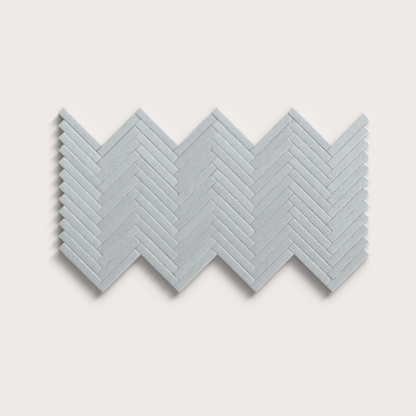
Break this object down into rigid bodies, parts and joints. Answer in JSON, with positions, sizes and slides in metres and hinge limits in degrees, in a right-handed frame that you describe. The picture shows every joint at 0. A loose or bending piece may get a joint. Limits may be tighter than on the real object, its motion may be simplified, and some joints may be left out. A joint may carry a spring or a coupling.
{
  "type": "herringbone mosaic tile sheet",
  "caption": "Mesh-backed sheet of narrow glazed porcelain tiles in a herringbone pattern, with zigzag ends and toothed sides that interlock with the next sheet.",
  "frame": {"origin": "centre of the sheet's outline, on the underside of the backing mesh, which is the face that beds on the wall or floor", "axes": "+Z out of the glazed face, +X along the sheet's longer side from the column that falls to the right, +Y towards the tops of the columns"},
  "size_m": [0.4666, 0.277, 0.0065],
  "materials": {
    "glazed_tile": "satin",
    "backing_mesh": "matte"
  },
  "bodies": {
    "root": {"mesh_backing": "backing_mesh", "tile_column_1": "glazed_tile", "tile_column_2": "glazed_tile", "tile_column_3": "glazed_tile", "tile_column_4": "glazed_tile", "tile_column_5": "glazed_tile", "tile_column_6": "glazed_tile", "tile_column_7": "glazed_tile", "tile_column_8": "glazed_tile"}
  },
  "joints": []
}
